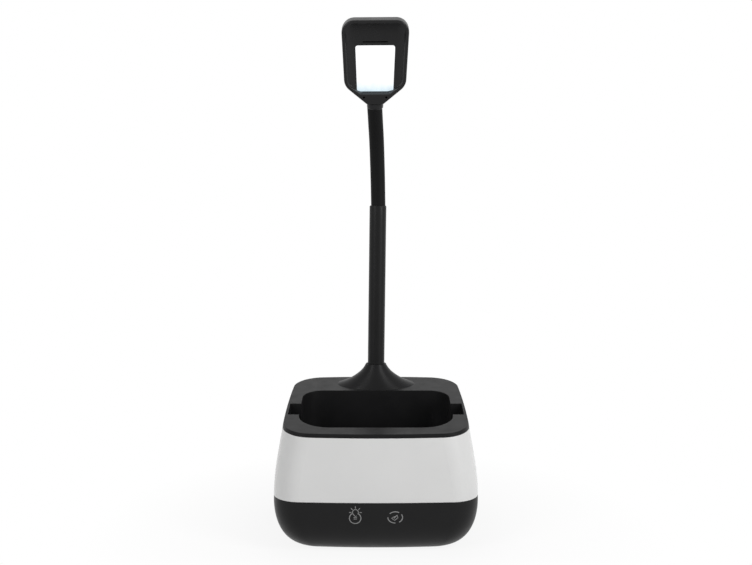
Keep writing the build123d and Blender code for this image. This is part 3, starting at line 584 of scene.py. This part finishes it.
def skin_over(name, loops, *materials, closed=False):
    """A piece through loops of as many points each: closed into a ring, or capped at its two ends."""
    mesh = bmesh.new()
    rows = [[mesh.verts.new(point) for point in loop] for loop in loops]
    pairs = list(zip(rows, rows[1:]))
    if closed:
        pairs.append((rows[-1], rows[0]))
    for low, high in pairs:
        for k in range(len(low)):
            n = (k + 1) % len(low)
            mesh.faces.new((low[k], low[n], high[n], high[k]))
    if not closed:
        mesh.faces.new(rows[0][::-1])
        mesh.faces.new(rows[-1])
    bmesh.ops.recalc_face_normals(mesh, faces=mesh.faces)
    piece = mesh_piece(name, mesh, *materials)
    shade(piece.data)
    return piece


def carve(piece, outline, floor):
    """Sinks an outline into the head's front, down to floor; its walls get the piece's second material."""
    loops = [head_loop(outline, floor), head_loop(outline, HEAD_FRONT + CUT_CLEAR)]
    cutter = skin_over("cutter", loops, *piece.data.materials)
    for face in cutter.data.polygons:
        face.material_index = 1
    cut = piece.modifiers.new("cut", "BOOLEAN")
    cut.operation = "DIFFERENCE"
    cut.solver = "MANIFOLD"
    cut.object = cutter
    graph = bpy.context.evaluated_depsgraph_get()
    data = bpy.data.meshes.new_from_object(piece.evaluated_get(graph))
    piece.modifiers.clear()
    piece.data = data
    bpy.data.objects.remove(cutter)
    shade(data)


def back_level(y):
    """How far back the head reaches at a height."""
    return BACK_AT_COLLAR + (BACK_AT_TOP - BACK_AT_COLLAR) * y / HEAD_CORNERS[-1][1]


def head_bezel():
    """The head's front: rounded edge, lip, the dish that slopes in to the panel, slot and dimples."""
    edge = panel_outline(0.0)
    rim = dish_mouth(0.0)
    loops = [head_loop(edge, HEAD_SEAM), head_loop(edge, PANEL_LEVEL)]
    for share, level in DISH:
        loops.append(head_loop([outer.lerp(inner, share) for inner, outer in zip(edge, rim)], level))
    loops.append(head_loop(rim, HEAD_FRONT - LIP_ROUND))
    loops.append(head_loop(dish_mouth(LIP_ROUND * LIP_MIDDLE), HEAD_FRONT - LIP_ROUND * LIP_MIDDLE))
    loops.append(head_loop(dish_mouth(LIP_ROUND), HEAD_FRONT))
    for rise, run in quarter_turn(FRONT_STEPS):
        outline = head_outline(FRONT_ROUND * (1 - rise))
        loops.append(head_loop(outline, HEAD_FRONT - FRONT_ROUND * (1 - run)))
    loops.append(head_loop(head_outline(0.0), HEAD_SEAM + SEAM_HALF * 2))
    loops.append(head_loop(head_outline(SEAM_DEPTH / 2), HEAD_SEAM + SEAM_HALF))
    loops.append(head_loop(head_outline(SEAM_DEPTH), HEAD_SEAM))
    piece = skin_over("head_bezel", loops, head_plastic, slot_shadow, closed=True)
    carve(piece, slot_outline(), SLOT_FLOOR)
    for side in (-1, 1):
        carve(piece, dimple_outline(side), HEAD_FRONT - DIMPLE_DEPTH)
    return piece


def head_back():
    """The head's hollow back cover, tapered towards the top, with a rounded edge."""
    loops = [head_loop(head_outline(BACK_ROUND), lambda y: back_level(y) + HEAD_WALL),
             head_loop(head_outline(HEAD_WALL), lambda y: back_level(y) + BACK_ROUND),
             head_loop(head_outline(HEAD_WALL), HEAD_SEAM),
             head_loop(head_outline(SEAM_DEPTH), HEAD_SEAM),
             head_loop(head_outline(SEAM_DEPTH / 2), HEAD_SEAM - SEAM_HALF),
             head_loop(head_outline(0.0), HEAD_SEAM - SEAM_HALF * 2)]
    for rise, run in quarter_turn(BACK_STEPS):
        loops.append(head_loop(head_outline(BACK_ROUND * (1 - run)),
                               lambda y, step=BACK_ROUND * (1 - rise): back_level(y) + step))
    return skin_over("head_back", loops, head_plastic)


def panel_front():
    """The lit panel, a plate with a soft edge, just behind the dish's inner edge."""
    loops = [head_loop(panel_outline(shrink), PANEL_LEVEL + rise) for shrink, rise in PANEL_EDGE]
    return skin_over("panel_front", loops, light_diffuser)


def head_collar():
    """The collar that the neck's skin ends in, rounded where it meets it."""
    line = [head_place(0.0, level, 0.0) for level, radius in COLLAR]
    radii = [radius * MM for level, radius in COLLAR]
    return tube("head_collar", line, radii, SKIN_BORE, head_plastic, TUBE_SIDES)


for piece, node, slot_name in ((head_bezel(), "head_frame", "black_plastic"),
                               (head_back(), "head_shell", "black_plastic"),
                               (panel_front(), "light_panel", "light_diffuser"),
                               (head_collar(), "neck_collar", "black_plastic")):
    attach(piece, "head")
    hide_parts(node)

# ---------------------------------------------------------------- touch symbols
# millimetres: x across and z up, on the housing's front face
SYMBOL_LEVEL = 29.1
INK_LIFT = 0.03 * MM
INK_DEPTH = 0.08 * MM
IN_FRONT = -0.2  # metres: a y well in front of the housing
FINE_LINE = 0.5
LAMP_RING = (-14.7, SYMBOL_LEVEL - 0.6)
LAMP_RING_RADIUS = 4.1
LAMP_RING_LINE = 0.66
BULB = (-14.5, SYMBOL_LEVEL + 3.8)
BULB_RADIUS = 2.1
BULB_LINE = 0.52
RAY_MIDDLE = (BULB[0], BULB[1] - 0.1)
RAY_SPAN = (2.9, 4.5)
MOOD = (13.7, SYMBOL_LEVEL)
MOOD_RADIUS = 5.2
MOOD_SQUEEZE = 0.82
MOOD_ARCS = [(58, 138, 0.68), (-58, 32, 0.72), (178, 272, 0.68)]  # from and to, in degrees, and line width
LEAF = [(-2.6, -0.6), (-0.4, -2.2), (1.9, -0.2), (1.3, 1.4), (0.1, 0.7), (-1.2, 0.3)]
LEAF_LINE = 0.6

housing = nodes["lower_housing"].data
housing_tree = BVHTree.FromPolygons([v.co.copy() for v in housing.vertices],
                                    [list(p.vertices) for p in housing.polygons])


def on_front(x, z):
    """The point of the housing's front face at x, z in millimetres, in metres."""
    return housing_tree.ray_cast(Vector((x * MM, IN_FRONT, z * MM)), Vector((0.0, 1.0, 0.0)))[0]


def stroke(mesh, points, width, closed=False):
    """A printed line of that width along points, lying on the front face."""
    count = len(points)
    rows = []
    for number, (x, z) in enumerate(points):
        if closed:
            before, after = points[number - 1], points[(number + 1) % count]
        else:
            before, after = points[max(number - 1, 0)], points[min(number + 1, count - 1)]
        run = Vector((after[0] - before[0], after[1] - before[1])).normalized()
        side = Vector((-run.y, run.x)) * width / 2
        corners = []
        for sign in (1, -1):
            spot = on_front(x + side.x * sign, z + side.y * sign)
            for lift in (INK_LIFT, -INK_DEPTH):
                corners.append(mesh.verts.new(spot - Vector((0.0, lift, 0.0))))
        rows.append(corners)
    pairs = list(zip(rows, rows[1:]))
    if closed:
        pairs.append((rows[-1], rows[0]))
    for a, b in pairs:
        for i, j in ((0, 1), (1, 3), (3, 2), (2, 0)):
            mesh.faces.new((a[i], a[j], b[j], b[i]))
    if not closed:
        for end in (rows[0], rows[-1]):
            mesh.faces.new((end[0], end[1], end[3], end[2]))


def arc(centre, radius, start, end, steps=24, squeeze=1.0):
    """Points from start to end degrees round centre; squeeze flattens the height."""
    turns = [radians(start + (end - start) * k / steps) for k in range(steps + 1)]
    return [(centre[0] + radius * cos(turn), centre[1] + radius * squeeze * sin(turn)) for turn in turns]


def about(centre, points):
    """Points given from a centre, in their place on the face."""
    return [(centre[0] + x, centre[1] + z) for x, z in points]


def lamp_strokes():
    """A bulb with five rays over an open ring that holds two bars."""
    strokes = [(arc(LAMP_RING, LAMP_RING_RADIUS, 122, 418), LAMP_RING_LINE),
               (arc(BULB, BULB_RADIUS, -40, 220, 18), BULB_LINE),
               (about(BULB, [(-1.6, -1.4), (-0.2, -3.0), (0.9, -2.6)]), FINE_LINE)]
    for height in (0.6, -0.6):
        strokes.append((about(LAMP_RING, [(-1.1, height), (1.3, height)]), FINE_LINE))
    for turn in (0, 45, 90, 135, 180):
        ray = [(reach * cos(radians(turn)), reach * sin(radians(turn))) for reach in RAY_SPAN]
        strokes.append((about(RAY_MIDDLE, ray), BULB_LINE))
    return strokes


def mood_strokes():
    """A leaf with its stalk inside three arcs of a flattened ring."""
    strokes = [(arc(MOOD, MOOD_RADIUS, start, end, 14, MOOD_SQUEEZE), width)
               for start, end, width in MOOD_ARCS]
    strokes.append((about(MOOD, LEAF), LEAF_LINE, True))
    strokes.append((about(MOOD, [(-1.0, -0.8), (1.5, 1.9)]), FINE_LINE))
    return strokes


def symbol(name, strokes):
    """A printed symbol made of strokes: (points, width), and True where one is closed."""
    mesh = bmesh.new()
    for each in strokes:
        stroke(mesh, *each)
    bmesh.ops.recalc_face_normals(mesh, faces=mesh.faces)
    piece = mesh_piece(name, mesh, symbol_ink)
    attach(piece, "base")


symbol("touch_symbol_lamp", lamp_strokes())
symbol("touch_symbol_mood", mood_strokes())

# ---------------------------------------------------------------- studio
BACKDROP_WHITE = 1.0
ROOM_LIGHT = 0.28
KEY_LIGHTS = [
    # name, place, aim, size, watts
    ("left_softbox", (-0.75, -0.75, 0.65), (0.0, 0.0, 0.12), (0.35, 0.9), 4.6),
    ("right_softbox", (0.8, -0.6, 0.6), (0.0, 0.0, 0.12), (0.35, 0.9), 7.4),
    ("top_softbox", (0.0, 0.15, 1.1), (0.0, 0.0, 0.1), (0.7, 0.5), 1.8),
]
FLOOR_REACH = 6.0
FLOOR_GREY = grey(0.6)  # what the floor throws back at the lamp
FLOOR_SEEN = grey(0.9)  # and what is seen of it directly
FADE_START = 0.09  # from the middle of the base, where the floor starts to fade into the backdrop
FADE_END = 0.22
FADE_AT_START = 0.88


def softbox(name, spot, aim, size, watts):
    """A soft rectangular lamp that faces aim."""
    light = bpy.data.lights.new(name, "AREA")
    light.shape = "RECTANGLE"
    light.size, light.size_y = size
    light.energy = watts
    lamp = bpy.data.objects.new(name, light)
    lamp.location = spot
    lamp.rotation_euler = (Vector(aim) - Vector(spot)).to_track_quat("-Z", "Y").to_euler()
    bpy.context.scene.collection.objects.link(lamp)


def seen_directly(tree):
    """One for rays from the camera, reflections and light through glass, and zero for soft light."""
    paths = tree.nodes.new("ShaderNodeLightPath")
    total = paths.outputs["Is Camera Ray"]
    for kind in ("Is Glossy Ray", "Is Transmission Ray"):
        both = tree.nodes.new("ShaderNodeMath")
        both.operation = "MAXIMUM"
        tree.links.new(total, both.inputs[0])
        tree.links.new(paths.outputs[kind], both.inputs[1])
        total = both.outputs["Value"]
    return total


def background(tree, strength):
    """White light from all round."""
    shader = tree.nodes.new("ShaderNodeBackground")
    shader.inputs["Color"].default_value = WHITE
    shader.inputs["Strength"].default_value = strength
    return shader.outputs["Background"]


def studio_world():
    """A dim room that lights the lamp softly, and a white backdrop where it is seen directly."""
    world = bpy.data.worlds.new("studio")
    bpy.context.scene.world = world
    world.use_nodes = True
    tree = world.node_tree
    tree.nodes.clear()
    output = tree.nodes.new("ShaderNodeOutputWorld")
    choose = tree.nodes.new("ShaderNodeMixShader")
    tree.links.new(seen_directly(tree), choose.inputs["Fac"])
    tree.links.new(background(tree, ROOM_LIGHT), choose.inputs[1])
    tree.links.new(background(tree, BACKDROP_WHITE), choose.inputs[2])
    tree.links.new(choose.outputs["Shader"], output.inputs["Surface"])


def floor_material():
    """White that keeps a faint shadow near the lamp and fades into the backdrop."""
    material = bpy.data.materials.new("floor_white")
    material.use_nodes = True
    tree = material.node_tree
    tree.nodes.clear()
    output = tree.nodes.new("ShaderNodeOutputMaterial")
    direct = seen_directly(tree)
    matt = tree.nodes.new("ShaderNodeBsdfDiffuse")
    tree.links.new(blend_colours(tree, direct, FLOOR_GREY, FLOOR_SEEN), matt.inputs["Color"])
    glow = tree.nodes.new("ShaderNodeEmission")
    glow.inputs["Color"].default_value = WHITE
    glow.inputs["Strength"].default_value = BACKDROP_WHITE
    where = tree.nodes.new("ShaderNodeTexCoord")
    gap = tree.nodes.new("ShaderNodeVectorMath")
    gap.operation = "LENGTH"
    tree.links.new(where.outputs["Object"], gap.inputs[0])
    fade = remap(tree, gap.outputs["Value"], FADE_AT_START, 1.0, FADE_START, FADE_END)
    only_seen = tree.nodes.new("ShaderNodeMath")
    only_seen.operation = "MULTIPLY"
    tree.links.new(fade, only_seen.inputs[0])
    tree.links.new(direct, only_seen.inputs[1])
    mix = tree.nodes.new("ShaderNodeMixShader")
    tree.links.new(only_seen.outputs["Value"], mix.inputs["Fac"])
    tree.links.new(matt.outputs["BSDF"], mix.inputs[1])
    tree.links.new(glow.outputs["Emission"], mix.inputs[2])
    tree.links.new(mix.outputs["Shader"], output.inputs["Surface"])
    return material


def studio_floor():
    """A plain table top under the lamp."""
    mesh = bmesh.new()
    corners = [mesh.verts.new((x * FLOOR_REACH, y * FLOOR_REACH, 0.0))
               for x, y in ((-1, -1), (1, -1), (1, 1), (-1, 1))]
    mesh.faces.new(corners)
    mesh_piece("studio_floor", mesh, floor_material())


for entry in KEY_LIGHTS:
    softbox(*entry)
studio_world()
studio_floor()
